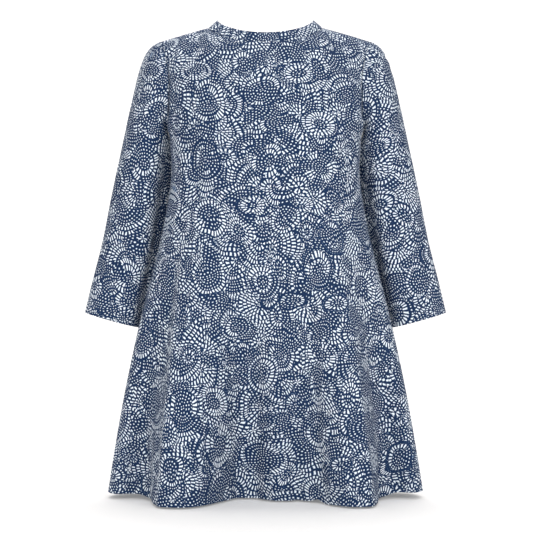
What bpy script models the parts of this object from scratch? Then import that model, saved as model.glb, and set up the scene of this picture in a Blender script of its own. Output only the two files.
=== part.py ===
"""A mock neck tunic dress of printed jersey, filled out as it is worn. Units are metres.

The origin is the middle of the neck at the height of the neck points, where the shoulders carry the
garment. +Z is up, the front faces -Y, and the wearer's left sleeve is on +X.

Every piece is one wall of cloth. Its outer face is a grid of points: rows run down the piece and
columns run round the body or the arm. The pieces that meet at a seam share the grid points there, so
the wall turns the same way on both sides of the seam, and each piece is then drawn back a little.
"""

from collections import defaultdict, namedtuple
from math import cos, exp, pi, radians, sin

import bmesh
import bpy
import numpy as np

# ---- Driving sizes -------------------------------------------------------------------------------

CLOTH_WALL = 0.0016
BAND_WALL = 0.0026  # the neck band is folded double
SEAM_GAP = 0.0005

BODY_LENGTH = 0.838  # neck point to hem
UNDERARM_DROP = 0.187  # neck point to underarm, straight down
SIDE_HEM_RISE = 0.003  # the hem is a little shorter at the side seams
SIDE_LINE = -0.020  # Y of the line where the body is widest
YOKE_ROUNDNESS = 2.3
FOLD_SQUARENESS = 2.8  # 2 is a bell; more has a flatter crest and steeper sides

NECK_HALF_WIDTH = 0.1025
NECK_FRONT = (-0.076, -0.0375)  # Y and Z of the neck seam at the centre front
NECK_BACK = (0.068, -0.018)
BAND_TOP_HALF_WIDTH = 0.0875
BAND_TOP_SIDE_RISE = 0.013
BAND_TOP_FRONT = (-0.067, -0.020)
BAND_TOP_BACK = (0.060, -0.001)

SHOULDER_TIP = (0.193, 0.004, -0.0255)
NECK_SCOOP = 1.25  # 1 gives a flat front and back; more rounds the neckline over the shoulders
SHOULDER_CURVE = 1.05  # over 1, the seam drops faster beside the arm

# ---- Grid sizes ----------------------------------------------------------------------------------

NECK_COLUMNS = 13  # centre front to neck point
SHOULDER_COLUMNS = 8  # neck point to shoulder tip
YOKE_ROWS = 12  # shoulder to underarm
SKIRT_ROWS = 15  # underarm to hem
CAP_ROWS = 7  # armhole to biceps
SLEEVE_ROWS = 9  # biceps to cuff
BAND_ROWS = 3
ROW_CROWDING = 1.5  # over 1, skirt rows lie closer together near the underarm
SMALL_STEP = 0.004  # how far apart two points are taken to find a curve's direction

FRONT, BACK = -1, 1
RIGHT, LEFT = -1, 1  # the wearer's
HALF_COLUMNS = NECK_COLUMNS + SHOULDER_COLUMNS
NECK_POINT = NECK_COLUMNS / HALF_COLUMNS  # where the neck point lies across a panel, 0 to 1

# ---- Tables --------------------------------------------------------------------------------------

Section = namedtuple("Section", "name drop half_width front back roundness")
BODY = (
    Section("underarm", UNDERARM_DROP, 0.1745, 0.106, 0.106, 2.3),
    Section("armpit", 0.199, 0.1700, 0.109, 0.108, 2.3),
    Section("chest", 0.216, 0.1677, 0.112, 0.109, 2.3),
    Section("bust", 0.257, 0.1672, 0.115, 0.108, 2.3),
    Section("ribs", 0.315, 0.1740, 0.111, 0.106, 2.3),
    Section("waist", 0.404, 0.1925, 0.102, 0.110, 2.2),
    Section("hip", 0.494, 0.2160, 0.096, 0.116, 2.1),
    Section("cuff level", 0.549, 0.2290, 0.093, 0.120, 2.0),
    Section("thigh", 0.689, 0.2580, 0.088, 0.128, 1.9),
    Section("hem", BODY_LENGTH, 0.2815, 0.085, 0.134, 1.9),
)

# Angles run round the body from 0 at the centre front, through 90 at the wearer's left side seam.
Fold = namedtuple("Fold", "name angle spread push start_drop")
FOLDS = (
    Fold("front right flare", -33, 13, 0.052, 0.27),
    Fold("front left flare", 34, 12, 0.050, 0.27),
    Fold("front centre dip", 4, 22, -0.030, 0.36),
    Fold("front right hollow", -9, 9, -0.036, 0.38),
    Fold("front left hollow", 17, 8, -0.008, 0.46),
    Fold("front right tuck", -58, 10, -0.026, 0.34),
    Fold("front left tuck", 57, 10, -0.028, 0.34),
    Fold("back right flare", -148, 12, 0.026, 0.30),
    Fold("back left flare", 150, 12, 0.028, 0.30),
    Fold("back centre hollow", 178, 10, -0.024, 0.38),
    Fold("back right tuck", -122, 9, -0.022, 0.38),
    Fold("back left tuck", 124, 9, -0.020, 0.38),
)

# The section halfway down the armholes. It ends at the armhole, edge_angle round from the centre.
Yoke = namedtuple("Yoke", "drop half_width depth edge_angle")
YOKE = {FRONT: Yoke(0.103, 0.170, 0.085, 70), BACK: Yoke(0.103, 0.170, 0.104, 62)}

# How each column of a panel leaves the neck or shoulder. across is 0 at the centre and 1 at the arm.
Lie = namedtuple("Lie", "name across leave")
FRONT_LIE = (
    Lie("centre", 0.0, (0.000, -0.010, -0.022)),
    Lie("half neck", NECK_POINT / 2, (0.010, -0.017, -0.016)),
    Lie("neck point", NECK_POINT, (0.012, -0.030, -0.003)),
    Lie("shoulder", (NECK_POINT + 1) / 2, (0.002, -0.036, 0.000)),
    Lie("armhole", 1.0, (-0.010, -0.035, -0.002)),
)
BACK_LIE = (
    Lie("centre", 0.0, (0.000, 0.010, -0.020)),
    Lie("half neck", NECK_POINT / 2, (0.010, 0.017, -0.014)),
    Lie("neck point", NECK_POINT, (0.012, 0.030, -0.003)),
    Lie("shoulder", (NECK_POINT + 1) / 2, (0.002, 0.036, 0.000)),
    Lie("armhole", 1.0, (-0.010, 0.031, -0.002)),
)
UNDERARM_RUN = 0.026  # how far a column runs straight above the underarm line
ARMHOLE_LANDING = (0.003, 0.026, -0.012)  # how the armhole runs in to the underarm, from the front
ARMHOLE_CORNER = 0.75  # columns past this share of a panel turn towards the armhole

# A sleeve's sections as the front view shows them: outer and inner edge as X and Z, then the half
# depth and the middle along Y.
Cut = namedtuple("Cut", "name along outer inner half_depth middle")
SLEEVE = (
    Cut("biceps", 0.00, (0.2612, -0.2220), (0.1665, -0.2440), 0.0570, 0.013),
    Cut("upper arm", 0.28, (0.2785, -0.3000), (0.1745, -0.3240), 0.0540, 0.017),
    Cut("elbow", 0.57, (0.2965, -0.3880), (0.1920, -0.4130), 0.0480, 0.020),
    Cut("forearm", 0.80, (0.3140, -0.4570), (0.2110, -0.4830), 0.0425, 0.019),
    Cut("cuff", 1.00, (0.3270, -0.5120), (0.2260, -0.5400), 0.0370, 0.017),
)

# How the sleeve leaves the armhole, and how far it runs straight above the biceps.
# turn goes once round the armhole from the shoulder seam, down the front and up the back.
Cap = namedtuple("Cap", "name turn leave run")
CAP = (
    Cap("shoulder", 0.000, (0.033, 0.000, -0.016), 0.150),
    Cap("upper front", 0.125, (0.032, -0.012, -0.015), 0.110),
    Cap("front", 0.250, (0.030, -0.014, -0.008), 0.060),
    Cap("lower front", 0.375, (0.020, -0.006, -0.002), 0.036),
    Cap("underarm", 0.500, (0.0135, 0.001, 0.004), 0.034),
    Cap("lower back", 0.625, (0.018, 0.006, -0.002), 0.038),
    Cap("back", 0.750, (0.022, 0.016, -0.012), 0.060),
    Cap("upper back", 0.875, (0.031, 0.013, -0.015), 0.110),
    Cap("shoulder again", 1.000, (0.033, 0.000, -0.016), 0.150),
)

NAVY = (0.035, 0.075, 0.205)
CLOTH_ROUGHNESS = 0.82
SHARP_ANGLE = radians(50)  # the wall's cut edges stay sharp


# ---- Curves and tables ---------------------------------------------------------------------------


def between(table, key, place, column):
    """A column's value at a place along the key column, on a smooth curve through the rows."""
    places = np.array([getattr(row, key) for row in table], float)
    values = np.array([getattr(row, column) for row in table], float)
    slopes = np.gradient(values, places, axis=0)
    first = int(np.clip(np.searchsorted(places, place) - 1, 0, len(places) - 2))
    span = places[first + 1] - places[first]
    t = float(np.clip((place - places[first]) / span, 0.0, 1.0))
    start = (2 * t**3 - 3 * t**2 + 1) * values[first]
    leave = (t**3 - 2 * t**2 + t) * span * slopes[first]
    end = (3 * t**2 - 2 * t**3) * values[first + 1]
    land = (t**3 - t**2) * span * slopes[first + 1]
    return start + leave + end + land


def ease(share):
    """0 to 1, level at both ends."""
    share = min(max(share, 0.0), 1.0)
    return share * share * (3 - 2 * share)


def bezier(start, leave, land, end, share):
    """A point on the curve that leaves start along one handle and lands on end along the other."""
    rest = 1 - share
    out = start + leave
    into = end - land
    return rest**3 * start + 3 * rest**2 * share * out + 3 * rest * share**2 * into + share**3 * end


def unit(vectors):
    return vectors / np.linalg.norm(vectors, axis=-1, keepdims=True)


def dot(first, second):
    return (first * second).sum(axis=-1, keepdims=True)


def rounded(value, roundness):
    """A sine or cosine for a section that is an ellipse at 2 and has fuller corners above it."""
    return np.sign(value) * abs(value) ** (2 / roundness)


# ---- Body: front and back ------------------------------------------------------------------------


def fold_push(angle, drop):
    """How far the folds carry the cloth out from the plain section."""
    push = 0.0
    for fold in FOLDS:
        away = (angle - fold.angle + 180) % 360 - 180
        grown = ease((drop - fold.start_drop) / (BODY_LENGTH - fold.start_drop))
        push += fold.push * grown * exp(-(abs(away / fold.spread) ** FOLD_SQUARENESS))
    return push


def body_point(across, drop, side):
    """A point below the underarm. across runs from -1 at the right side seam to 1 at the left."""
    turn = across * pi / 2
    half_width = between(BODY, "drop", drop, "half_width")
    depth = between(BODY, "drop", drop, "front" if side == FRONT else "back")
    roundness = between(BODY, "drop", drop, "roundness")
    x_share, y_share = rounded(sin(turn), roundness), side * rounded(cos(turn), roundness)
    angle = across * 90 if side == FRONT else 180 - across * 90
    outward = unit(np.array((x_share / half_width, y_share / depth)))
    x, y = np.array((half_width * x_share, depth * y_share)) + outward * fold_push(angle, drop)
    return np.array((x, SIDE_LINE + y, -drop))


def skirt_drop(across, share):
    """How far below the neck point a skirt row lies. share is 0 at the underarm and 1 at the hem."""
    hem = BODY_LENGTH - SIDE_HEM_RISE * across**2
    return UNDERARM_DROP + (hem - UNDERARM_DROP) * share**ROW_CROWDING


def neck_loop(turn, half_width, side_rise, front, back):
    """A point of a loop round the neck. turn is 0 at the centre front and pi / 2 at the left side."""
    y, z = front if cos(turn) > 0 else back
    lean = abs(cos(turn))
    return np.array((half_width * sin(turn), y * lean, side_rise + (z - side_rise) * lean**NECK_SCOOP))


def top_edge(across, side):
    """The neck seam out to the neck point, then the shoulder seam out to its tip."""
    share = abs(across)
    if share <= NECK_POINT:
        turn = across / NECK_POINT * pi / 2
        return neck_loop(turn if side == FRONT else pi - turn, NECK_HALF_WIDTH, 0.0, NECK_FRONT, NECK_BACK)
    out = (share - NECK_POINT) / (1 - NECK_POINT)
    tip_x, tip_y, tip_z = SHOULDER_TIP
    x = NECK_HALF_WIDTH + (tip_x - NECK_HALF_WIDTH) * out
    return np.array((x * np.sign(across), tip_y * out, tip_z * out**SHOULDER_CURVE))


def yoke_middle(across, side):
    """A point of the section halfway down the armholes."""
    yoke = YOKE[side]
    turn, edge = radians(yoke.edge_angle) * across, radians(yoke.edge_angle)
    x = yoke.half_width * rounded(sin(turn), YOKE_ROUNDNESS) / rounded(sin(edge), YOKE_ROUNDNESS)
    y = SIDE_LINE + side * yoke.depth * rounded(cos(turn), YOKE_ROUNDNESS)
    return np.array((x, y, -yoke.drop))


def gentler(first, second):
    """The smaller of two steps along each axis, or none where they point opposite ways."""
    return np.where(first * second > 0, np.minimum(abs(first), abs(second)) * np.sign(first), 0.0)


def yoke_point(across, share, side):
    """A point between the top edge, at share 0, and the underarm line, at share 1."""
    mirror = np.array((np.sign(across) or 1.0, 1.0, 1.0))
    top, middle = top_edge(across, side), yoke_middle(across, side)
    end = body_point(across, UNDERARM_DROP, side)
    glide = gentler(middle - top, end - middle) / 3
    if share < 0.5:
        leave = between(FRONT_LIE if side == FRONT else BACK_LIE, "across", abs(across), "leave")
        return bezier(top, leave * mirror, glide, middle, share * 2)
    down = unit(body_point(across, UNDERARM_DROP + SMALL_STEP, side) - end) * UNDERARM_RUN
    in_to_underarm = np.array(ARMHOLE_LANDING) * mirror * np.array((1.0, -side, 1.0))
    turned = ease((abs(across) - ARMHOLE_CORNER) / (1 - ARMHOLE_CORNER))
    return bezier(middle, glide, down * (1 - turned) + in_to_underarm * turned, end, share * 2 - 1)


def panel_grid(side):
    """The outer face of the front or the back, rows running down and columns round the body."""
    columns = np.arange(-HALF_COLUMNS, HALF_COLUMNS + 1) / HALF_COLUMNS * -side
    rows = [[yoke_point(a, r / YOKE_ROWS, side) for a in columns] for r in range(YOKE_ROWS)]
    for row in range(SKIRT_ROWS + 1):
        share = row / SKIRT_ROWS
        rows.append([body_point(a, skirt_drop(a, share), side) for a in columns])
    return np.array(rows)


# ---- Sleeves -------------------------------------------------------------------------------------


def sleeve_point(along, turn, side):
    """A point of a sleeve's tube. turn is 0 at the outer edge, 0.5 at the inner, and 0.25 in front."""
    outer = between(SLEEVE, "along", along, "outer")
    inner = between(SLEEVE, "along", along, "inner")
    half_depth = between(SLEEVE, "along", along, "half_depth")
    middle = between(SLEEVE, "along", along, "middle")
    angle = turn * 2 * pi
    x, z = (outer + inner) / 2 + (outer - inner) / 2 * cos(angle)
    return np.array((x * side, middle - half_depth * sin(angle), z))


def cap_point(start, share, turn, side):
    """A point between the armhole, at share 0, and the biceps, at share 1."""
    leave = between(CAP, "turn", turn, "leave") * np.array((side, 1.0, 1.0))
    end = sleeve_point(0.0, turn, side)
    down = unit(sleeve_point(SMALL_STEP, turn, side) - end)
    land = down * between(CAP, "turn", turn, "run")
    return bezier(start, leave, land, end, share)


def sleeve_grid(front, back, side):
    """The outer face of a sleeve, from the armhole that the two panels leave to the cuff."""
    front_edge = front[: YOKE_ROWS + 1, -1 if side == LEFT else 0]
    back_edge = back[: YOKE_ROWS + 1, 0 if side == LEFT else -1]
    armhole = np.concatenate((front_edge, back_edge[-2:0:-1]))
    turns = np.arange(len(armhole)) / len(armhole)
    rows = [
        [cap_point(p, r / CAP_ROWS, t, side) for p, t in zip(armhole, turns)]
        for r in range(CAP_ROWS)
    ]
    for row in range(SLEEVE_ROWS + 1):
        rows.append([sleeve_point(row / SLEEVE_ROWS, t, side) for t in turns])
    grid = np.array(rows)
    return grid if side == RIGHT else grid[:, ::-1]


# ---- Neck band -----------------------------------------------------------------------------------


def band_grid(front, back):
    """The outer face of the neck band, from its fold down to the neck seam."""
    first = SHOULDER_COLUMNS
    last = first + 2 * NECK_COLUMNS
    seam = np.concatenate((front[0, first : last + 1], back[0, first + 1 : last]))
    turns = (np.arange(len(seam)) / NECK_COLUMNS - 1) * pi / 2
    sizes = (BAND_TOP_HALF_WIDTH, BAND_TOP_SIDE_RISE, BAND_TOP_FRONT, BAND_TOP_BACK)
    fold = np.array([neck_loop(turn, *sizes) for turn in turns])
    shares = np.linspace(0, 1, BAND_ROWS + 1)[:, None, None]
    return fold * (1 - shares) + seam * shares


# ---- Walls of cloth ------------------------------------------------------------------------------

# Where each edge of a grid lies, and the points next to it inside the piece.
EDGES = {
    "top": (np.s_[0], np.s_[1]),
    "bottom": (np.s_[-1], np.s_[-2]),
    "sides": (np.s_[:, [0, -1]], np.s_[:, [1, -2]]),
}


def shared_normals(grids, loops):
    """Outward directions at every grid point. Points that two pieces share have one direction."""
    sums = defaultdict(lambda: np.zeros(3))
    keys = [[[tuple(np.round(p, 6)) for p in row] for row in grid] for grid in grids]
    for grid, key, loop in zip(grids, keys, loops):
        rows, columns = grid.shape[:2]
        for r in range(rows - 1):
            for c in range(columns if loop else columns - 1):
                d = (c + 1) % columns
                face = np.cross(grid[r + 1, d] - grid[r, c], grid[r, d] - grid[r + 1, c])
                for corner in (key[r][c], key[r][d], key[r + 1][c], key[r + 1][d]):
                    sums[corner] += face
    return [np.array([[unit(sums[k]) for k in row] for row in key]) for key in keys]


def squared(grid, normals, seams):
    """Turns the wall square to the cloth along a seam that lies in a fold, where it would pinch."""
    normals = normals.copy()
    for seam in seams:
        edge, inside = EDGES[seam]
        step = unit(grid[inside] - grid[edge])
        lean = np.maximum(dot(normals[edge], step), 0.0)
        normals[edge] = unit(normals[edge] - lean * step)
    return normals


def drawn_back(grid, seams):
    """Moves the points along each seam square back from it, into the piece, by half the gap."""
    grid = grid.copy()
    for seam in seams:
        edge, inside = EDGES[seam]
        step = grid[inside] - grid[edge]
        along = unit(np.gradient(grid[edge], axis=0))
        grid[edge] += unit(step - along * dot(step, along)) * SEAM_GAP / 2
    return grid


def cloth_material(name):
    """Smooth navy jersey, one material for each piece."""
    material = bpy.data.materials.new(name)
    material.use_nodes = True
    shader = material.node_tree.nodes["Principled BSDF"]
    shader.inputs["Base Color"].default_value = (*NAVY, 1.0)
    shader.inputs["Roughness"].default_value = CLOTH_ROUGHNESS
    shader.inputs["Metallic"].default_value = 0.0
    return material


def wall_piece(name, collection, outer, normals, wall, seams, loop=False):
    """One piece of cloth as a closed wall between its outer grid and an inner one."""
    inner = outer - squared(outer, normals, seams) * wall
    faces = [drawn_back(outer, seams), drawn_back(inner, seams)]
    rows, columns = outer.shape[:2]
    last = columns if loop else columns - 1
    mesh = bmesh.new()
    out, inn = ([[mesh.verts.new(p) for p in row] for row in grid] for grid in faces)
    for c in range(last):
        d = (c + 1) % columns
        for r in range(rows - 1):
            mesh.faces.new((out[r][c], out[r + 1][c], out[r + 1][d], out[r][d]))
            mesh.faces.new((inn[r][c], inn[r][d], inn[r + 1][d], inn[r + 1][c]))
        for r in (0, rows - 1):
            mesh.faces.new((out[r][c], out[r][d], inn[r][d], inn[r][c]))
    if not loop:
        for r in range(rows - 1):
            for c in (0, columns - 1):
                mesh.faces.new((out[r][c], inn[r][c], inn[r + 1][c], out[r + 1][c]))
    bmesh.ops.recalc_face_normals(mesh, faces=mesh.faces)
    data = bpy.data.meshes.new(name)
    mesh.to_mesh(data)
    mesh.free()
    data.shade_smooth()
    data.set_sharp_from_angle(angle=SHARP_ANGLE)
    data.materials.append(cloth_material(name))
    collection.objects.link(bpy.data.objects.new(name, data))


def main():
    for old in list(bpy.data.objects):
        bpy.data.objects.remove(old)
    garment = bpy.data.collections.new("mock_neck_tunic_dress")
    bpy.context.scene.collection.children.link(garment)

    front, back = panel_grid(FRONT), panel_grid(BACK)
    right = sleeve_grid(front, back, RIGHT)
    left = sleeve_grid(front, back, LEFT)
    band = band_grid(front, back)
    loops = (False, False, True, True, True)
    normals = shared_normals((front, back, right, left, band), loops)

    panel_seams = ("top", "sides")
    wall_piece("front_panel", garment, front, normals[0], CLOTH_WALL, panel_seams)
    wall_piece("back_panel", garment, back, normals[1], CLOTH_WALL, panel_seams)
    wall_piece("sleeve_right", garment, right, normals[2], CLOTH_WALL, ("top",), loop=True)
    wall_piece("sleeve_left", garment, left, normals[3], CLOTH_WALL, ("top",), loop=True)
    wall_piece("neck_band", garment, band, normals[4], BAND_WALL, ("bottom",), loop=True)


main()
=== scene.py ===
"""Looks of the mock neck tunic dress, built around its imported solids. Units are metres.

Each piece of cloth is a thin sheet on the outer face of its solid. The solid's mesh is read back as
a grid whose rows run down the piece. The grid is laid flat, which gives the piece's cut. A finer
sheet is made from both: its places carry the creases and hems, its flat places carry the print.
"""

from collections import namedtuple
from math import cos, pi, radians

import bmesh
import bpy
import numpy as np
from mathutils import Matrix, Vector


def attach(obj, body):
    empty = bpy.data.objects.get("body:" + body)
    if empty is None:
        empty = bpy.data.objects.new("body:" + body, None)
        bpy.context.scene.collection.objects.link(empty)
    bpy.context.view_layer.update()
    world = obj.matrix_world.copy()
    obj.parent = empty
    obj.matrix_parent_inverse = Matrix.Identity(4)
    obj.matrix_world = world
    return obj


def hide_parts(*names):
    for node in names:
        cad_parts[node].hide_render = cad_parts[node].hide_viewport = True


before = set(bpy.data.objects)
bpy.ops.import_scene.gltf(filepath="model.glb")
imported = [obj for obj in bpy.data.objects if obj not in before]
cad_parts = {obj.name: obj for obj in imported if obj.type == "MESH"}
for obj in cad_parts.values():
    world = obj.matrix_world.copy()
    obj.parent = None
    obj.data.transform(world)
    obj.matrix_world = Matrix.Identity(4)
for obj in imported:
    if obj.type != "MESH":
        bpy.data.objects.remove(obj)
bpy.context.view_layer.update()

# ---- Sizes ---------------------------------------------------------------------------------------

CLOTH = 0.0007  # thickness of one layer of jersey
WALL_EDGE = 0.0032  # shorter edges of a solid cross its wall
SAME_CORNER = 1e-5  # corners of a solid this near are one
SAME_PLACE = 1e-6  # corners of a new piece this near are one
TINY, TINY_AREA = 1e-9, 1e-12  # keep a division from failing

FINE_STEP = 0.0042  # between rows and columns of a fine sheet
NEAR_EDGES = (0.0008, 0.002, 0.0042)  # extra rows and columns this far from an edge
CLEAR = 0.3  # a row less than this part of a step from an extra one is left out
TURN_ROWS = 6  # rows round a fold
SHARP_TURN = radians(38)  # a grid line that turns more than this keeps its corner
CLOTH_MAP = "cloth"  # the UV map of places on the flat cloth, in metres

# how deep a fold is, and how thick across both its layers
HEM = (0.020, 0.0017)
CUFF = (0.018, 0.0017)
BAND = (0.0165, 0.0026)

SEAM_DIP = 0.0004  # how far the cloth sinks into a seam
SEAM_SPREAD = 0.0045
SEAM_REACH = 0.00013  # how far the cloth runs on into the gap between two solids
SLEEVE_SEAM = 0.0006  # the seam along a sleeve sinks less, as if this far away

STITCH_ROWS = (0.0015, 0.0045)  # how far inside a turned edge its two rows of stitches run
STITCH_DIP = 0.00025  # how far the rows pull the cloth in
STITCH_SPREAD = 0.0022
STITCH = 0.0034  # from stitch to stitch
STITCH_ENDS = (0.08, 0.92)  # where its thread begins and ends, as parts of a stitch
THREAD = 0.00042  # across the sewing thread
THREAD_SIDES = 5
# how far a stitch's thread stands above the cloth, from end to end
STITCH_RISE = (-0.00035, 0.0, 0.00010, 0.0, -0.00035)

# ---- The grids of the solids ---------------------------------------------------------------------

# loop: whether it closes round a limb. columns: of quads in the solid. start: a corner of its grid,
# and where a tube is slit to lie flat. turned: its fold. top_fold: whether that is along the top.
# bolt: where the piece lies on the printed cloth
Piece = namedtuple("Piece", "node loop columns start turned top_fold bolt")
PIECES = (
    Piece("front_panel", False, 42, (0.193, 0.004, -0.0255), HEM, False, (1.31, 2.22)),
    Piece("back_panel", False, 42, (0.193, 0.004, -0.0255), HEM, False, (3.47, 1.08)),
    Piece("sleeve_right", True, 24, (-0.1745, -0.020, -0.187), CUFF, False, (5.12, 3.31)),
    Piece("sleeve_left", True, 24, (0.1745, -0.020, -0.187), CUFF, False, (7.64, 0.57)),
    Piece("neck_band", True, 52, (0.0, 0.060, -0.001), BAND, True, (9.05, 4.43)),
)


def islands_of(skin):
    """The faces of a mesh, in a list for each part that hangs together."""
    islands, seen = [], set()
    for face in skin.faces:
        if face in seen:
            continue
        island, waiting = [], [face]
        seen.add(face)
        while waiting:
            here = waiting.pop()
            island.append(here)
            for edge in here.edges:
                for other in edge.link_faces:
                    if other not in seen:
                        seen.add(other)
                        waiting.append(other)
        islands.append(island)
    return islands


def skin_of(node):
    """The outer face of a solid wall, as merged triangles."""
    skin = bmesh.new()
    skin.from_mesh(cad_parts[node].data)
    bmesh.ops.remove_doubles(skin, verts=skin.verts, dist=SAME_CORNER)
    short = [edge for edge in skin.edges if edge.calc_length() < WALL_EDGE]
    through = list({face for edge in short for face in edge.link_faces})
    bmesh.ops.delete(skin, geom=through, context="FACES")
    islands = islands_of(skin)
    outer = max(islands, key=lambda island: sum(face.calc_area() for face in island))
    inner = [face for island in islands if island is not outer for face in island]
    bmesh.ops.delete(skin, geom=inner, context="FACES")
    return skin


def along_rim(corner, used):
    """The neighbours of a corner along the open edge, apart from used ones."""
    edges = [edge for edge in corner.link_edges if edge.is_boundary]
    return [edge.other_vert(corner) for edge in edges if edge.other_vert(corner) not in used]


def first_row(skin, piece):
    """The top row of corners, round a tube or across a panel from one side to the other."""
    rim = [corner for corner in skin.verts if corner.is_boundary]
    start = min(rim, key=lambda corner: (corner.co - Vector(piece.start)).length)
    rows = []
    for step in along_rim(start, ()):
        row = [start, step]
        while len(row) < piece.columns + (not piece.loop):
            row += along_rim(row[-1], row[-2:])[:1]
        rows.append(row)
    if piece.loop:
        return rows[0]
    mirrored = Vector((-start.co.x, start.co.y, start.co.z))
    return min(rows, key=lambda row: (row[-1].co - mirrored).length)


def third(first, second, taken):
    """The corner of a triangle on the line from first to second that isn't taken."""
    edge = next(edge for edge in first.link_edges if edge.other_vert(first) is second)
    corners = [c for face in edge.link_faces for c in face.verts if c not in edge.verts]
    return next(corner for corner in corners if corner not in taken)


def slant(corner, ends):
    """The shortest line down from a corner as a share of the next: 0 where there is only one."""
    lengths = sorted((end.co - corner.co).length for end in ends)
    return lengths[0] / lengths[1] if len(lengths) > 1 else 0.0


def row_under(above, used, loop):
    """The row of corners under a row. Round a tube it starts where the line down is plainest."""
    free = [[e.other_vert(c) for e in c.link_edges if e.other_vert(c) not in used] for c in above]
    if not all(free):
        return None
    start = min(range(len(above)), key=lambda n: slant(above[n], free[n])) if loop else 0
    first = min(free[start], key=lambda end: (end.co - above[start].co).length)
    below = {start: first if loop else along_rim(above[0], used)[0]}
    for step in range(start, start + len(above) - 1):
        left, right = above[step % len(above)], above[(step + 1) % len(above)]
        under = third(left, right, used)
        if under is below[step % len(above)]:
            under = third(under, right, used | {left})
        below[(step + 1) % len(above)] = under
    return [below[n] for n in range(len(above))]


def grid_of(piece):
    """Places of a solid's outer face, rows by columns by three."""
    skin = skin_of(piece.node)
    rows, used = [first_row(skin, piece)], set()
    while rows[-1]:
        used |= set(rows[-1])
        rows.append(row_under(rows[-1], used, piece.loop))
    grid = np.array([[corner.co[:] for corner in row] for row in rows[:-1]])
    skin.free()
    return grid


def faced_out(grid, loop):
    """The grid with its columns in the order that makes its faces point outwards."""
    across, down = np.gradient(grid, axis=1), np.gradient(grid, axis=0)
    middle = grid.mean(1) if loop else (grid[:, 0] + grid[:, -1]) / 2
    if (np.cross(across, down) * (grid - middle[:, None])).sum() > 0:
        return grid
    return np.roll(grid[:, ::-1], 1, axis=1) if loop else grid[:, ::-1]


def coarse_sheet(piece):
    """A piece's grid as a sheet: its last row is at the fold, a tube ends on its first column."""
    grid = grid_of(piece)
    grid = faced_out(grid[::-1] if piece.top_fold else grid, piece.loop)
    return np.concatenate((grid, grid[:, :1]), axis=1) if piece.loop else grid


# ---- Laying a sheet flat -------------------------------------------------------------------------

FLAT_ROUNDS = 1600


def laid_flat(grid):
    """Places of a grid on flat cloth: a net of springs as long as its lines settles on a plane."""
    rows, columns = grid.shape[:2]
    steps = np.linalg.norm(np.diff(grid, axis=1), axis=-1)
    drops = np.linalg.norm(np.diff(grid, axis=0), axis=-1)
    flat = np.zeros((rows, columns, 2))
    flat[:, 1:, 0] = steps.cumsum(1)
    flat[..., 0] -= flat[:, columns // 2, None, 0]
    flat[:-1, :, 1] = drops[::-1].cumsum(0)[::-1]
    lines = []
    for first, last in (
        (np.s_[:, :-1], np.s_[:, 1:]),
        (np.s_[:-1, :], np.s_[1:, :]),
        (np.s_[:-1, :-1], np.s_[1:, 1:]),
        (np.s_[:-1, 1:], np.s_[1:, :-1]),
    ):
        lines.append((first, last, np.linalg.norm(grid[last] - grid[first], axis=-1)))
    for _ in range(FLAT_ROUNDS):
        pull, ends = np.zeros_like(flat), np.zeros((rows, columns, 1))
        for first, last, wanted in lines:
            line = flat[last] - flat[first]
            length = np.linalg.norm(line, axis=-1) + TINY
            move = line * ((length - wanted) / length / 2)[..., None]
            pull[first] += move
            pull[last] -= move
            ends[first] += 1
            ends[last] += 1
        flat += pull / ends
    return flat - (flat.min((0, 1)) + flat.max((0, 1))) / 2


def flat_area(flat):
    """Area of a grid on flat cloth."""
    one = flat[1:, 1:] - flat[:-1, :-1]
    other = flat[1:, :-1] - flat[:-1, 1:]
    return float(np.abs(one[..., 0] * other[..., 1] - one[..., 1] * other[..., 0]).sum() / 2)


# ---- Fine sheets ---------------------------------------------------------------------------------


def stops(lengths, near):
    """Positions along a grid, counted in its intervals, whose mean lengths are given."""
    last = len(lengths)
    extra = [d / lengths[0] for d in near] + [last - d / lengths[-1] for d in near]
    found = list(range(last + 1))
    for number, length in enumerate(lengths):
        parts = max(1, round(length / FINE_STEP))
        for place in (number + step / parts for step in range(1, parts)):
            if not extra or min(abs(place - e) for e in extra) > CLEAR / parts:
                found.append(place)
    return np.unique(found + extra)


def length_of(lines):
    """Lengths of lines, ready to divide them by."""
    return np.linalg.norm(lines, axis=-1, keepdims=True)


def drawn_through(places, at):
    """Points along axis 0, on smooth curves through the places, which keep sharp corners."""
    step = np.diff(places, axis=0)
    length = length_of(step) + TINY
    way = step / length
    before, after = way[:-1], way[1:]
    mean = before * length[1:] + after * length[:-1]
    mean /= length_of(mean) + TINY
    sharp = (before * after).sum(-1, keepdims=True) < cos(SHARP_TURN)
    leaving = np.concatenate((way[:1], np.where(sharp, after, mean)))
    arriving = np.concatenate((np.where(sharp, before, mean), way[-1:]))
    number = np.minimum(at.astype(int), len(step) - 1)
    t = (at - number).reshape(-1, *[1] * (places.ndim - 1))
    return (
        places[number] * (2 * t**3 - 3 * t**2 + 1)
        + places[number + 1] * (3 * t**2 - 2 * t**3)
        + leaving[number] * length[number] * (t**3 - 2 * t**2 + t)
        + arriving[number] * length[number] * (t**3 - t**2)
    )


def finer(grid, rows, columns, loop=False):
    """A grid at positions along its rows and columns. A loop's columns run on over its slit."""
    down = drawn_through(grid, rows).swapaxes(0, 1)
    if loop:
        down = np.concatenate((down[-2:-1], down, down[1:2]))
        columns = columns + 1
    return drawn_through(down, columns).swapaxes(0, 1)


def normals_of(places, loop):
    """Outward directions of a fine sheet."""
    if loop:
        around = np.concatenate((places[:, -2:-1], places, places[:, 1:2]), axis=1)
        across = np.gradient(around, axis=1)[:, 1:-1]
    else:
        across = np.gradient(places, axis=1)
    out = np.cross(across, np.gradient(places, axis=0))
    return out / (length_of(out) + TINY_AREA)


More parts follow.
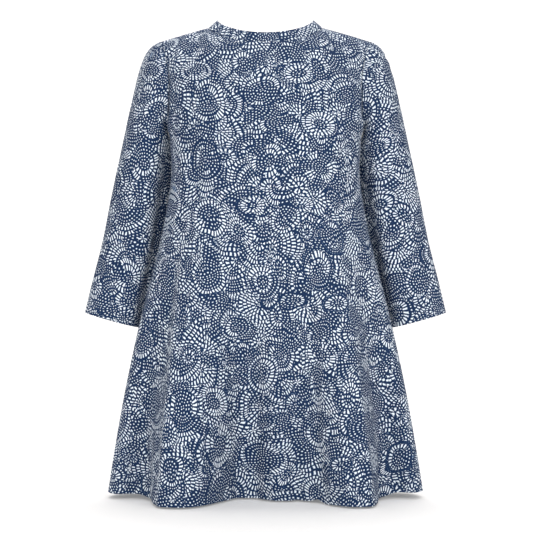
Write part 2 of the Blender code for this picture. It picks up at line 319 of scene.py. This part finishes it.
def from_edges(places, axis):
    """Distances along the sheet from the first and the last place of each line."""
    run = np.linalg.norm(np.diff(places, axis=axis), axis=-1).cumsum(axis)
    run = np.concatenate((np.zeros_like(np.take(run, [0], axis)), run), axis=axis)
    return run, np.take(run, [-1], axis) - run


# ---- Where the cloth leaves its solid ------------------------------------------------------------

UNDER_ARM = -0.222  # where the sleeves leave the body
UNDER_ARM_SPREAD = 0.030
BODY_OUT, SLEEVE_IN = 0.0022, 0.0032  # how far each goes towards the other there

LIFT_TOP, LIFT_RUN = -0.70, 0.13  # the hem's changes begin here, and are whole this far below
HEM_SIDE = 0.203  # the hem rises further out than this
RIGHT_RISE = (0.020, 0.0050)  # over how far, and how high
LEFT_RISE = (0.030, 0.0075)
FRONT_HALF = 0.010  # y of the cloth in front is less

# along the front hem: how far the cloth moves sideways and up about a place, and how wide that is
Tuck = namedtuple("Tuck", "x aside up width")
TUCKS = (
    Tuck(-0.209, 0.0070, 0.0, 0.010),
    Tuck(0.206, -0.0060, 0.0, 0.010),
    Tuck(0.089, 0.0, 0.0045, 0.006),
    Tuck(0.103, 0.0, -0.0030, 0.006),
)


def drawn_in(places, normals, piece):
    """The places of a sheet, with body and sleeves brought nearer each other under the arms."""
    x, z = places[..., 0], places[..., 2]
    way, most = (-1, SLEEVE_IN) if piece.loop else (1, BODY_OUT)
    under_arm = np.exp(-(((z - UNDER_ARM) / UNDER_ARM_SPREAD) ** 2))
    facing = (way * normals[..., 0] * np.sign(x)).clip(0, 1) ** 2
    drawn = places.copy()
    drawn[..., 0] += way * most * under_arm * facing * np.sign(x)
    return drawn


def lifted(places):
    """The places of a body piece, its hem raised beside the front folds and drawn in by them."""
    x, z = places[..., 0], places[..., 2]
    low = ((LIFT_TOP - z) / LIFT_RUN).clip(0, 1)
    low = low * low * (3 - 2 * low)
    right = ((-HEM_SIDE - x) / RIGHT_RISE[0]).clip(0, 1) * RIGHT_RISE[1]
    left = ((x - HEM_SIDE) / LEFT_RISE[0]).clip(0, 1) * LEFT_RISE[1]
    raised = places.copy()
    raised[..., 2] += (right + left) * low
    front = (places[..., 1] < FRONT_HALF) * low
    for tuck in TUCKS:
        near = np.exp(-(((x - tuck.x) / tuck.width) ** 2)) * front
        raised[..., 0] += tuck.aside * near
        raised[..., 2] += tuck.up * near
    return raised


# ---- Creases -------------------------------------------------------------------------------------

FRONT, BACK = -1, 1
HEM_LINE = -0.84  # a crease that ends lower than this runs out through the hem
FADE = 0.8  # how bluntly a crease begins and ends: less is blunter
FACING = 2.5  # how soon a crease fades where the cloth turns away
# both sides of a crease swell: how much of its depth, how many widths out, and how wide
LIP, LIP_OUT, LIP_WIDTH = 0.45, 1.7, 1.2

# a soft trough in the cloth from one place to another, as seen from the front. bow: how far its
# middle stands off the straight line
Crease = namedtuple("Crease", "piece side x0 z0 x1 z1 bow width depth")
CREASES = (
    # the sleeves go back behind the body
    Crease("sleeve_right", FRONT, -0.172, -0.170, -0.229, -0.560, -0.015, 0.019, 0.0120),
    Crease("sleeve_left", FRONT, 0.172, -0.160, 0.231, -0.560, 0.015, 0.014, 0.0065),
    Crease("sleeve_right", BACK, -0.176, -0.170, -0.234, -0.560, -0.012, 0.017, 0.0080),
    Crease("sleeve_left", BACK, 0.176, -0.170, 0.234, -0.560, 0.013, 0.017, 0.0085),
    # soft drags at the elbows, and from the armholes
    Crease("sleeve_right", FRONT, -0.272, -0.300, -0.215, -0.342, 0.006, 0.009, 0.0016),
    Crease("sleeve_right", FRONT, -0.286, -0.372, -0.226, -0.398, -0.005, 0.010, 0.0018),
    Crease("sleeve_right", FRONT, -0.262, -0.232, -0.205, -0.290, 0.007, 0.010, 0.0014),
    Crease("sleeve_left", FRONT, 0.270, -0.318, 0.214, -0.352, -0.006, 0.010, 0.0017),
    Crease("sleeve_left", FRONT, 0.288, -0.402, 0.230, -0.420, 0.005, 0.009, 0.0015),
    Crease("sleeve_left", FRONT, 0.256, -0.224, 0.203, -0.276, -0.007, 0.010, 0.0015),
    Crease("sleeve_right", BACK, -0.270, -0.310, -0.216, -0.346, 0.006, 0.010, 0.0018),
    Crease("sleeve_right", BACK, -0.284, -0.385, -0.228, -0.405, -0.005, 0.010, 0.0014),
    Crease("sleeve_left", BACK, 0.272, -0.300, 0.214, -0.340, -0.006, 0.010, 0.0017),
    Crease("sleeve_left", BACK, 0.286, -0.380, 0.228, -0.402, 0.005, 0.009, 0.0016),
    Crease("front_panel", FRONT, 0.158, -0.190, 0.118, -0.300, 0.008, 0.012, 0.0024),
    Crease("front_panel", FRONT, -0.156, -0.186, -0.114, -0.310, -0.009, 0.013, 0.0026),
    Crease("front_panel", FRONT, 0.135, -0.130, 0.092, -0.196, 0.006, 0.010, 0.0014),
    Crease("front_panel", FRONT, -0.133, -0.135, -0.094, -0.206, -0.006, 0.010, 0.0015),
    Crease("back_panel", BACK, 0.156, -0.186, 0.112, -0.306, 0.008, 0.012, 0.0022),
    Crease("back_panel", BACK, -0.157, -0.190, -0.116, -0.296, -0.008, 0.012, 0.0023),
    # long soft folds that fall from the waist
    Crease("front_panel", FRONT, -0.150, -0.380, -0.196, -0.850, 0.004, 0.008, 0.0058),
    Crease("front_panel", FRONT, 0.146, -0.730, 0.152, -0.810, 0.001, 0.0045, 0.0030),
    Crease("front_panel", FRONT, 0.140, -0.420, 0.198, -0.850, -0.005, 0.009, 0.0052),
    Crease("front_panel", FRONT, 0.078, -0.520, 0.100, -0.850, 0.003, 0.009, 0.0036),
    Crease("front_panel", FRONT, -0.088, -0.470, -0.104, -0.800, -0.003, 0.012, 0.0020),
    Crease("front_panel", FRONT, 0.030, -0.430, 0.044, -0.720, -0.004, 0.014, 0.0016),
    Crease("front_panel", FRONT, 0.050, -0.650, 0.057, -0.850, 0.002, 0.008, 0.0040),
    Crease("front_panel", FRONT, -0.046, -0.640, -0.050, -0.850, -0.002, 0.009, 0.0030),
    Crease("back_panel", BACK, -0.070, -0.450, -0.110, -0.850, 0.004, 0.013, 0.0034),
    Crease("back_panel", BACK, 0.064, -0.430, 0.102, -0.850, -0.004, 0.014, 0.0036),
    Crease("back_panel", BACK, 0.000, -0.520, -0.006, -0.850, 0.003, 0.014, 0.0026),
    Crease("back_panel", BACK, 0.150, -0.400, 0.200, -0.850, 0.004, 0.012, 0.0030),
    Crease("back_panel", BACK, -0.148, -0.420, -0.196, -0.850, -0.004, 0.012, 0.0030),
)


def creased(places, normals, piece):
    """The places of a sheet with its creases pressed in."""
    sink = np.zeros(places.shape[:2])
    x, z = places[..., 0], places[..., 2]
    for crease in CREASES:
        if crease.piece != piece.node:
            continue
        run_x, run_z = crease.x1 - crease.x0, crease.z1 - crease.z0
        length = (run_x**2 + run_z**2) ** 0.5
        along = ((x - crease.x0) * run_x + (z - crease.z0) * run_z) / length**2
        aside = ((x - crease.x0) * run_z - (z - crease.z0) * run_x) / length
        part = along.clip(0, 1)
        aside = (aside - crease.bow * 4 * part * (1 - part)) / crease.width
        ends = np.sin(part * (pi / 2 if crease.z1 < HEM_LINE else pi)) ** FADE
        trough = np.exp(-(aside**2)) - LIP * np.exp(-((abs(aside) - LIP_OUT) ** 2) / LIP_WIDTH)
        seen = (normals[..., 1] * crease.side * FACING).clip(0, 1)
        sink += crease.depth * trough * ends * seen
    return places - normals * sink[..., None]


# ---- Hems, folds and seams -----------------------------------------------------------------------


def seamed(places, normals, piece):
    """The places of a sheet, sunk along its seams and stitch lines."""
    from_top, from_fold = from_edges(places, 0)
    near = from_top
    if not piece.loop:
        near = np.minimum(near, np.minimum(*from_edges(places, 1)))
    elif not piece.top_fold:
        near = np.minimum(near, np.minimum(*from_edges(places, 1)) + SLEEVE_SEAM)
    sink = SEAM_DIP * (1 - near / SEAM_SPREAD).clip(0, 1) ** 2
    if not piece.top_fold:
        line = piece.turned[0] - sum(STITCH_ROWS) / 2
        sink += STITCH_DIP * np.exp(-(((from_fold - line) / STITCH_SPREAD) ** 2))
    return places - normals * sink[..., None]


def met(places, piece):
    """The places of a sheet with its sewn edges run on to meet the next piece."""
    places = places.copy()
    out = places[0] - places[1]
    places[0] += SEAM_REACH * out / length_of(out)
    if not piece.loop:
        for edge, inner in ((0, 1), (-1, -2)):
            out = places[:, edge] - places[:, inner]
            places[:, edge] += SEAM_REACH * out / length_of(out)
    return places


def folded(places, normals, flat, piece):
    """A sheet and its flat places with the cloth turned to the inside past the last row."""
    depth, across = piece.turned
    half = across / 2
    down = places[-1] - places[-2]
    down /= length_of(down)
    flat_down = flat[-1] - flat[-2]
    flat_down /= length_of(flat_down)
    more, flat_more = [], []
    for turn in np.linspace(0, pi, TURN_ROWS + 1)[1:]:
        round_fold = down * half * np.sin(turn) - normals[-1] * half * (1 - np.cos(turn))
        more.append(places[-1] + round_fold)
        flat_more.append(flat[-1] + flat_down * half * turn)
    above = from_edges(places, 0)[1]
    for row in range(len(places) - 1, -1, -1):
        height = above[row].mean()
        if half < height <= depth:
            more.append(places[row] - normals[row] * across)
            flat_more.append(flat[-1] + flat_down * (half * pi + height))
    return np.concatenate((places, more)), np.concatenate((flat, flat_more))


def stitch(rods, points, out):
    """Adds a stitch: a thin rod along points of the cloth, sunk in at both ends."""
    across = np.cross(points[-1] - points[0], out)
    across /= length_of(across)
    out = out / length_of(out)
    middles = points + out * np.array(STITCH_RISE)[:, None]
    turns = np.linspace(0, 2 * pi, THREAD_SIDES + 1)[:, None]
    rings = (across[:, None] * np.cos(turns) + out[:, None] * np.sin(turns)) * THREAD / 2
    made = bmesh.ops.create_grid(
        rods, x_segments=THREAD_SIDES, y_segments=len(points) - 1, size=1.0
    )
    for corner, place in zip(made["verts"], (middles[:, None] + rings).reshape(-1, 3)):
        corner.co = place


def stitch_row(rods, places, normals, distance):
    """Adds a row of stitches across a sheet, at a distance from its last row."""
    from_fold = from_edges(places, 0)[1]
    every = range(places.shape[1])
    row = np.array([np.interp(-distance, -from_fold[:, n], range(len(places))) for n in every])
    low = row.astype(int).clip(0, len(places) - 2)
    part = (row - low)[:, None]
    grids = np.concatenate((places, normals), axis=-1)
    line = grids[low, every] * (1 - part) + grids[low + 1, every] * part
    run = np.concatenate(([0.0], length_of(np.diff(line[:, :3], axis=0))[:, 0].cumsum()))
    count = int(run[-1] / STITCH)
    for number in range(count):
        at = (number + np.linspace(*STITCH_ENDS, len(STITCH_RISE))) * run[-1] / count
        drawn = np.array([np.interp(at, run, side) for side in line.T]).T
        stitch(rods, drawn[:, :3], drawn[:, 3:])


# ---- Meshes --------------------------------------------------------------------------------------


def smoothed(making, mesh):
    """Writes what is being made to a mesh, shaded smooth."""
    for face in making.faces:
        face.smooth = True
    making.to_mesh(mesh)
    making.free()
    return mesh


def placed(name, data):
    """A new object in the scene."""
    made = bpy.data.objects.new(name, data)
    bpy.context.scene.collection.objects.link(made)
    return made


def as_mesh(name, places, flat, loop):
    """A mesh of a sheet, with its places on the flat cloth as a UV map."""
    rows, columns = places.shape[:2]
    cloth = bmesh.new()
    bmesh.ops.create_grid(cloth, x_segments=columns - 1, y_segments=rows - 1, size=1.0)
    mesh = bpy.data.meshes.new(name)
    cloth.to_mesh(mesh)
    mesh.vertices.foreach_set("co", places.astype(np.float32).ravel())
    corners = np.empty(len(mesh.loops), np.int32)
    mesh.loops.foreach_get("vertex_index", corners)
    for layer in list(mesh.uv_layers):
        mesh.uv_layers.remove(layer)
    layer = mesh.uv_layers.new(name=CLOTH_MAP)
    layer.uv.foreach_set("vector", flat.reshape(-1, 2)[corners].astype(np.float32).ravel())
    cloth.clear()
    cloth.from_mesh(mesh)
    if loop:
        bmesh.ops.remove_doubles(cloth, verts=cloth.verts, dist=SAME_PLACE)
    return smoothed(cloth, mesh)


# ---- Materials -----------------------------------------------------------------------------------


class Wire:
    """An output of a finish's node. Arithmetic on it adds Math nodes."""

    def __init__(self, finish, socket):
        self.finish, self.socket = finish, socket

    def math(self, operation, *others):
        """This and others through a Math node."""
        return self.finish.math(operation, self, *others)

    def __add__(self, other):
        return self.math("ADD", other)

    def __sub__(self, other):
        return self.math("SUBTRACT", other)

    def __rsub__(self, other):
        return self.finish.math("SUBTRACT", other, self)

    def __mul__(self, other):
        return self.math("MULTIPLY", other)

    def __truediv__(self, other):
        return self.math("DIVIDE", other)

    __radd__, __rmul__ = __add__, __mul__

    def __abs__(self):
        return self.math("ABSOLUTE")

    def also(self, output):
        """Another output of the same node."""
        return Wire(self.finish, self.socket.node.outputs[output])

    def below(self, edge, blur):
        """1 where this is under an edge and 0 over it, with a soft step."""
        limits = {"From Min": edge - blur, "From Max": edge + blur, "To Min": 1.0, "To Max": 0.0}
        return self.finish.node("MapRange", {}, {"Value": self, **limits})


class Finish:
    """A material being made."""

    def __init__(self, name):
        self.material = bpy.data.materials.new(name)
        self.material.use_nodes = True
        self.tree = self.material.node_tree
        self.tree.nodes.clear()

    def node(self, kind, settings, inputs, output=0):
        """The output of a new node, whose settings are made before its sockets are filled."""
        made = self.tree.nodes.new("ShaderNode" + kind)
        for name, value in settings.items():
            setattr(made, name, value)
        for name, value in inputs.items():
            if isinstance(value, Wire):
                self.tree.links.new(value.socket, made.inputs[name])
            else:
                made.inputs[name].default_value = value
        return Wire(self, made.outputs[output]) if made.outputs else None

    def math(self, operation, *terms):
        """The result of a Math node on wires and numbers."""
        return self.node("Math", {"operation": operation}, dict(enumerate(terms)))

    def vector(self, operation, one, other=None, scale=None):
        """The result of a Vector Math node."""
        inputs = {0: one, 1: other, "Scale": scale}
        given = {name: value for name, value in inputs.items() if value is not None}
        return self.node("VectorMath", {"operation": operation}, given)

    def mixed(self, share, one, other):
        """One colour with a share of another."""
        return self.node("Mix", {"data_type": "RGBA"}, {0: share, 6: one, 7: other}, output=2)

    def noise(self, place, size, detail):
        """Flat noise whose patches are about a size, in millimetres."""
        inputs = {"Vector": place, "Scale": 1 / size, "Detail": detail}
        return self.node("TexNoise", {"noise_dimensions": "2D"}, inputs)

    def shaded(self, inputs):
        """The finished material, with what its shader is given."""
        surface = self.node("BsdfPrincipled", {}, inputs)
        self.node("OutputMaterial", {}, {"Surface": surface})
        return self.material


NAVY = (0.0052, 0.0230, 0.074, 1.0)
WHITE = (0.865, 0.925, 0.975, 1.0)
INK_EDGE = (0.09, 0.21, 0.41, 1.0)  # where the navy runs a little into the white
INK_RUN = 2.4  # how strongly it does
PALE = (0.46, 0.52, 0.62, 1.0)  # the wrong side of the cloth
WRONG_SIDE = 0.72  # how much that hides the print
DUST = (0.05, 0.06, 0.10, 1.0)  # dims the cloth unevenly
THREAD_DARK, THREAD_LIGHT = (0.008, 0.022, 0.070, 1.0), (0.020, 0.045, 0.120, 1.0)

# a layer of the print, in millimetres. cell: between the centres of its rosettes. loose: how freely
# they stand, 0 on a square grid. shift: how far the rings' centre is from a rosette's middle, in
# cells. reach: the least and the most radius. ring: from ring to ring. pitch: from dash to dash
# round a ring. dash: its length and width. stretch: how oval the rings are
Layer = namedtuple("Layer", "seed cell loose shift reach ring pitch dash stretch")
GROUND = Layer(1, 46, 1.0, 0.55, None, 8.2, 6.0, (6.05, 2.88), 1.2)
ROSETTES = Layer(2, 72, 0.8, 0.20, (20, 36), 9.0, 5.9, (6.6, 2.98), 1.45)
BIG_ROSETTES = Layer(3, 98, 0.7, 0.18, (25, 42), 10.6, 6.1, (8.1, 3.2), 1.3)
MOVE = (137.0, 71.0)  # how far each layer lies from the one before
RING_SPREAD = (0.88, 0.24)  # the rings' least share of their size, and how much more it may be

BLEED = 0.32  # half the blur at the edge of a dash
EDGE_BLUR = 0.3  # half the blur at the edge of a rosette
DOT_RING, DOT_PITCH = 5.6, 5.7  # from ring to ring and from dot to dot in a rosette's core
DOT = 1.25  # radius of a dot
CORE = 0.42  # the core's share of a rosette's radius
RIM = 0.9  # half the width of the navy line round a rosette
DOTTED = 0.16  # the share of rings with dots for dashes
DOTTED_MORE = 0.6  # how much larger that is in darker patches
LEAST_RING = 0.6  # the smallest ring, in steps from ring to ring
TWIST = 0.37  # how far each ring is turned from the last, in dashes
BEND_SIZE, BEND = 38, 14.0  # the drawing bends in patches this large, and this far
GRAIN_SIZE, GRAIN = 3.5, 1.5  # dashes are uneven in patches this large, and this much
PATCH_SIZE, PATCH_EDGE = 33, 0.04  # size of the darker patches, and half their blur
MOTTLE_SIZE = 1.1  # the cloth's colour and height vary a little in patches this large
WALES, COURSES = 7.4, 9.2  # how close the knit's ribs and rows are, in radians to a millimetre


def far(x, y):
    """The length of (x, y)."""
    return (x * x + y * y).math("SQRT")


def spots(finish, place, layer):
    """Distance and turns about the centre of a layer's rosette, and its three random numbers."""
    moved = finish.vector("ADD", place, (MOVE[0] * layer.seed, MOVE[1] * layer.seed, 0.0))
    cells = finish.node(
        "TexVoronoi",
        {"voronoi_dimensions": "2D", "feature": "F1"},
        {"Vector": moved, "Scale": 1 / layer.cell, "Randomness": layer.loose},
    )
    red = finish.node("SeparateColor", {}, {"Color": cells.also("Color")})
    green, blue = red.also("Green"), red.also("Blue")
    away = finish.vector("SUBTRACT", moved, cells.also("Position"))
    x = finish.node("SeparateXYZ", {}, {"Vector": away})
    y = x.also("Y")
    swing, shift = red * (2 * pi), layer.shift * layer.cell
    x = x + swing.math("COSINE") * shift
    y = y + swing.math("SINE") * shift
    lean = green * pi
    cosine, sine = lean.math("COSINE"), lean.math("SINE")
    long = x * cosine + y * sine
    short = (y * cosine - x * sine) * layer.stretch
    turns = short.math("ARCTAN2", long) / (2 * pi)
    return far(long, short), turns, (red, green, blue)


def stepped(reach, turns, ring, pitch, start):
    """The number of a place's ring, and how far along and beside the middle of its dash it is."""
    steps = reach / ring + start
    level = steps.math("FLOOR")
    size = (level + 0.5 - start).math("MAXIMUM", LEAST_RING) * ring * (2 * pi / pitch)
    around = turns * size.math("ROUND") + level * TWIST
    beside = abs(around - around.math("FLOOR") - 0.5) * pitch
    return level, abs(steps - level - 0.5) * ring, beside


def print_layer(finish, layer, place, uneven, dark):
    """How white a layer's drawing is, and the masks of its rosettes and of their rims."""
    reach, turns, (red, green, blue) = spots(finish, place, layer)
    ring = (green * RING_SPREAD[1] + RING_SPREAD[0]) * layer.ring
    level, along, beside = stepped(reach, turns, ring, layer.pitch, blue)
    long, wide = layer.dash
    dash = (along + uneven).below(long / 2, BLEED) * (beside + uneven).below(wide / 2, BLEED)
    _, near_ring, near_dot = stepped(reach, turns, DOT_RING, DOT_PITCH, 0.0)
    dot = (far(near_ring, near_dot) + uneven).below(DOT, BLEED)
    ring_seed = finish.node("CombineXYZ", {}, {"X": level, "Y": red * 91})
    chance = finish.node("TexWhiteNoise", {"noise_dimensions": "2D"}, {"Vector": ring_seed})
    dotted = (chance - dark * DOTTED_MORE).below(DOTTED, 0.001)
    if layer.reach is None:
        return dash * (1 - dotted) + dot * dotted, None, None
    low, high = layer.reach
    radius = red * (high - low) + low
    dotted = dotted.math("MAXIMUM", (reach - radius * CORE).below(0.0, EDGE_BLUR))
    inside = (reach - radius).below(0.0, EDGE_BLUR)
    rim = abs(reach - radius).below(RIM, EDGE_BLUR)
    return dash * (1 - dotted) + dot * dotted, inside, rim


def print_white(finish, place):
    """How white the print is at a place in millimetres: tossed rosettes over dashed rings."""
    bend = finish.noise(place, BEND_SIZE, 1.0).also("Color")
    bend = finish.vector("SUBTRACT", bend, (0.5, 0.5, 0.5))
    bent = finish.vector("ADD", place, finish.vector("SCALE", bend, scale=BEND))
    uneven = (finish.noise(place, GRAIN_SIZE, 1.0) - 0.5) * GRAIN
    dark = finish.noise(place, PATCH_SIZE, 0.0).below(0.5, PATCH_EDGE)
    white, _, _ = print_layer(finish, GROUND, bent, uneven, dark)
    for layer in (ROSETTES, BIG_ROSETTES):
        drawn, inside, rim = print_layer(finish, layer, bent, uneven, dark)
        white = (white * (1 - inside) + drawn * inside) * (1 - rim)
    return white.math("MINIMUM", 1.0).math("MAXIMUM", 0.0)


def jersey(name, inside):
    """Printed jersey: its right side, or its wrong side, where the print shows through faintly."""
    finish = Finish(name)
    flat = finish.node("UVMap", {"uv_map": CLOTH_MAP}, {})
    place = finish.vector("SCALE", flat, scale=1000.0)
    white = print_white(finish, place)
    colour = finish.mixed(white * white, NAVY, WHITE)
    colour = finish.mixed(white * (1 - white) * INK_RUN, colour, INK_EDGE)
    if inside:
        colour = finish.mixed(WRONG_SIDE, colour, PALE)
    mottle = finish.noise(place, MOTTLE_SIZE, 2.0)
    x = finish.node("SeparateXYZ", {}, {"Vector": place})
    wales, courses = (x * WALES).math("SINE"), (x.also("Y") * COURSES).math("SINE")
    height = wales * 0.5 + courses * 0.25 + mottle
    return finish.shaded(
        {
            "Base Color": finish.mixed((mottle - 0.5) * 0.25 + 0.04, colour, DUST),
            "Roughness": mottle * 0.12 + 0.76,
            "Normal": finish.node(
                "Bump", {}, {"Strength": 0.35, "Distance": 0.0002, "Height": height}
            ),
            "Sheen Weight": 0.03,
            "Sheen Roughness": 0.45,
            "Specular IOR Level": 0.16,
        }
    )


def sewing_thread():
    """Navy sewing thread, a little lighter where its plies catch the light."""
    finish = Finish("navy_thread")
    place = finish.node("TexCoord", {}, {}, output=3)
    plies = finish.node("TexNoise", {}, {"Vector": place, "Scale": 2600.0, "Detail": 0.0})
    colour = finish.mixed(plies, THREAD_DARK, THREAD_LIGHT)
    return finish.shaded({"Base Color": colour, "Roughness": 0.6})


def plain(name, colour, roughness, glow):
    """One even colour that also shines a little, as a lit studio sweep does."""
    return Finish(name).shaded(
        {
            "Base Color": colour,
            "Roughness": roughness,
            "Specular IOR Level": 0.0,
            "Emission Color": (1.0, 1.0, 1.0, 1.0),
            "Emission Strength": glow,
        }
    )


thread = sewing_thread()
right_side = jersey("printed_jersey_right_side", inside=False)
wrong_side = jersey("printed_jersey_wrong_side", inside=True)

# ---- Making the pieces ---------------------------------------------------------------------------


def stitch_piece(places, piece):
    """The two rows of stitches along a piece's hem, joined in one, or nothing on the neck band."""
    if piece.top_fold:
        return []
    name = piece.node + "_stitches"
    normals = normals_of(places, piece.loop)
    rods = bmesh.new()
    for gap in STITCH_ROWS:
        stitch_row(rods, places, normals, piece.turned[0] - gap)
    bmesh.ops.remove_doubles(rods, verts=rods.verts, dist=SAME_PLACE)
    bmesh.ops.holes_fill(rods, edges=rods.edges, sides=THREAD_SIDES)
    bmesh.ops.recalc_face_normals(rods, faces=rods.faces)
    stitches = placed(name, smoothed(rods, bpy.data.meshes.new(name)))
    stitches.data.materials.append(thread)
    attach(stitches, "root")
    return [stitches]


def cloth_piece(piece):
    """The dressed piece of a solid, with its flat cut."""
    grid = coarse_sheet(piece)
    down = np.linalg.norm(np.diff(grid, axis=0), axis=-1).mean(1)
    across = np.linalg.norm(np.diff(grid, axis=1), axis=-1).mean(0)
    rows = stops(down, NEAR_EDGES)
    columns = stops(across, () if piece.loop else NEAR_EDGES)
    places = finer(grid, rows, columns, piece.loop)
    flat = finer(laid_flat(grid), rows, columns)
    if not piece.loop:
        places = lifted(places)
    for change in (seamed,) if piece.top_fold else (drawn_in, creased, seamed):
        places = change(places, normals_of(places, piece.loop), piece)
    places = met(places, piece)
    stitches = stitch_piece(places, piece)
    places, flat = folded(places, normals_of(places, piece.loop), flat, piece)
    if piece.loop:
        places[:, -1] = places[:, 0]
    mesh = as_mesh(piece.node + "_cloth", places, flat + piece.bolt, piece.loop)
    mesh.materials.append(right_side)
    mesh.materials.append(wrong_side)
    cloth = placed(mesh.name, mesh)
    wall = cloth.modifiers.new("thickness", "SOLIDIFY")
    wall.thickness = CLOTH
    wall.offset = -1.0
    wall.material_offset = 1
    wall.material_offset_rim = 0
    size = np.ptp(flat, axis=(0, 1))
    area = flat_area(flat)
    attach(cloth, "root")
    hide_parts(piece.node)
    size = tuple(float(side) for side in size)


for piece in PIECES:
    cloth_piece(piece)

# ---- Floor, light and camera ---------------------------------------------------------------------

FLOOR = -0.8418
DROP_WHITE = (0.865, 0.850, 0.838, 1.0)
DROP_STEPS = 40  # from the front of the floor to the top of the wall
DROP_HALF = 6.0  # half as wide
DROP_FRONT, DROP_FLAT = -4.0, 6.0  # where the floor begins, and how far it runs
DROP_CURVE = 1.5  # radius of the curve up into the wall
DROP_WALL = 4.0  # height of the wall over that
FLAT_PART, CURVE_PART = 0.5, 0.3  # shares of the steps on the floor and in the curve

CAMERA = Vector((0.0018, -2.41, -0.4297))
PIXEL = 0.0018  # metres to a pixel of the photograph, where the garment hangs
PHOTO_WIDTH = 533
SENSOR = 36.0


def backdrop():
    """A white floor that curves up into a wall behind."""
    sweep = bmesh.new()
    bmesh.ops.create_grid(sweep, x_segments=1, y_segments=DROP_STEPS, size=1.0)
    for corner in sweep.verts:
        along = (corner.co.y + 1) / 2
        flat = min(along, FLAT_PART) / FLAT_PART * DROP_FLAT
        bend = max(0.0, min(1.0, (along - FLAT_PART) / CURVE_PART)) * pi / 2
        wall = max(0.0, along - FLAT_PART - CURVE_PART) / (1 - FLAT_PART - CURVE_PART) * DROP_WALL
        out = DROP_FRONT + flat + DROP_CURVE * np.sin(bend)
        up = DROP_CURVE * (1 - np.cos(bend)) + wall
        corner.co = (corner.co.x * DROP_HALF, out, FLOOR + up)
    drop = placed("backdrop", smoothed(sweep, bpy.data.meshes.new("backdrop")))
    drop.data.materials.append(plain("backdrop_white", DROP_WHITE, roughness=0.9, glow=0.16))


def lamp(name, place, aim, size, power):
    """A large square lamp that points at a place."""
    light = bpy.data.lights.new(name, "AREA")
    light.size, light.energy = size, power
    made = placed(name, light)
    made.location = place
    made.rotation_euler = (Vector(aim) - Vector(place)).to_track_quat("-Z", "Y").to_euler()


backdrop()
lamp("key", (1.4, -2.5, 0.6), (0.0, 0.0, -0.50), 1.3, 23.0)
lamp("fill", (-0.9, -2.5, -0.35), (0.0, 0.0, -0.80), 1.5, 14.0)
lamp("backdrop_lamp", (0.0, 1.2, 2.6), (0.0, 2.6, -0.6), 3.0, 90.0)
lamp("floor_lamp", (0.0, -2.6, 1.6), (0.0, -0.9, -0.84), 2.0, 19.0)

world = bpy.data.worlds.new("studio")
world.use_nodes = True
sky = world.node_tree.nodes["Background"].inputs
sky["Color"].default_value = (1.0, 1.0, 1.0, 1.0)
sky["Strength"].default_value = 0.51
bpy.context.scene.world = world
bpy.context.scene.view_settings.view_transform = "Standard"

lens = bpy.data.cameras.new("camera")
lens.sensor_width = SENSOR
lens.lens = SENSOR * -CAMERA.y / (PHOTO_WIDTH * PIXEL)
camera = placed("camera", lens)
camera.location = CAMERA
camera.rotation_euler = (pi / 2, 0.0, 0.0)
bpy.context.scene.camera = camera
